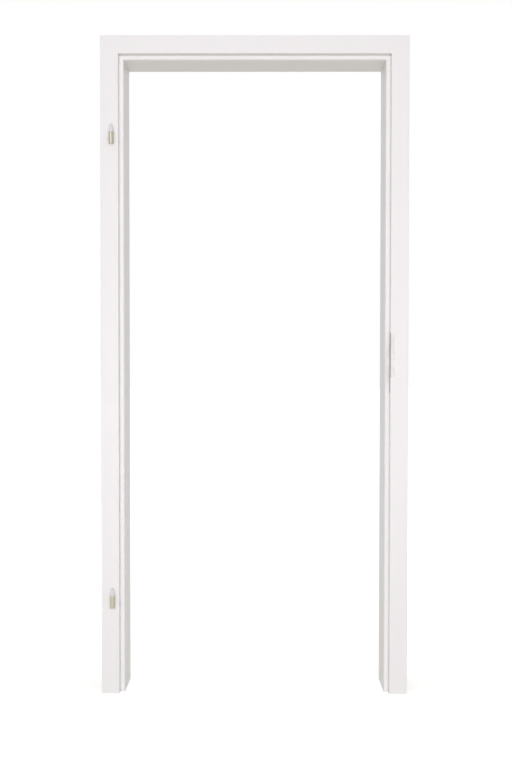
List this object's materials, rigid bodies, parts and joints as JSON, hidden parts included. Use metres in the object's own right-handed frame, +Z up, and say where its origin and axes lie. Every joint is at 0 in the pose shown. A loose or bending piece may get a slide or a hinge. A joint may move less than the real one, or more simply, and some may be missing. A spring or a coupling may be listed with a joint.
{
  "type": "door frame",
  "caption": "White rebated interior door frame that wraps round a wall: linings, rebate and trim casings, bulb seal, hinge barrels with standing pins, and a strike plate.",
  "frame": {"origin": "on the floor, midway between the uprights and midway through the whole depth, hinge barrels included", "axes": "+Z up; -Y towards the side on which the door leaf hangs; +X towards the lock side, as seen from the leaf's side"},
  "size_m": [0.951, 0.198, 2.038],
  "materials": {
    "white_board": "satin white lacquer over fibreboard",
    "tongue_board": "bare fibreboard",
    "beech_dowel": "bare fluted beech",
    "white_seal": "matt white elastomer",
    "nickel_steel": "satin nickel plate",
    "pin_steel": "ground bright steel",
    "bush_plastic": "pale grey, slightly waxy",
    "zinc_steel": "zinc plated sheet",
    "strike_steel": "satin nickel plate",
    "screw_steel": "zinc plated",
    "cam_zinc": "raw die-cast zinc",
    "key_plastic": "dark grey moulded"
  },
  "bodies": {
    "frame": {"lining_hinge_side": "white_board", "rebate_casing_hinge_side": "white_board", "seal_hinge_side": "white_seal", "lining_lock_side": "white_board", "rebate_casing_lock_side": "white_board", "seal_lock_side": "white_seal", "lining_head": "white_board", "rebate_casing_head": "white_board", "seal_head": "white_seal", "upper_hinge_pocket": "zinc_steel", "upper_clamp_plate": "zinc_steel", "lower_hinge_pocket": "zinc_steel", "lower_clamp_plate": "zinc_steel", "clamp_screws": "screw_steel", "pocket_screws": "screw_steel", "strike_screws": "screw_steel", "strike_plate": "strike_steel", "corner_dowels": "beech_dowel", "corner_bolts": "screw_steel", "corner_cams": "cam_zinc", "casing_keys": "key_plastic"},
    "trim": {"trim_casing_hinge_side": "white_board", "trim_tongue_hinge_side": "tongue_board", "trim_casing_lock_side": "white_board", "trim_tongue_lock_side": "tongue_board", "trim_casing_head": "white_board", "trim_tongue_head": "tongue_board", "trim_keys": "key_plastic"},
    "upper_hinge": {"upper_hinge_barrel": "nickel_steel", "upper_hinge_pin": "pin_steel", "upper_hinge_bush": "bush_plastic"},
    "lower_hinge": {"lower_hinge_barrel": "nickel_steel", "lower_hinge_pin": "pin_steel", "lower_hinge_bush": "bush_plastic"}
  },
  "joints": [
    {"name": "trim_slide", "type": "slide", "parent": "frame", "child": "trim", "axis": [0, 1, 0], "range_m": [0, 0.02]},
    {"name": "upper_hinge_adjust", "type": "slide", "parent": "frame", "child": "upper_hinge", "axis": [0, -1, 0], "range_m": [-0.0015, 0.003]},
    {"name": "lower_hinge_adjust", "type": "slide", "parent": "frame", "child": "lower_hinge", "axis": [0, -1, 0], "range_m": [-0.0015, 0.003]}
  ]
}
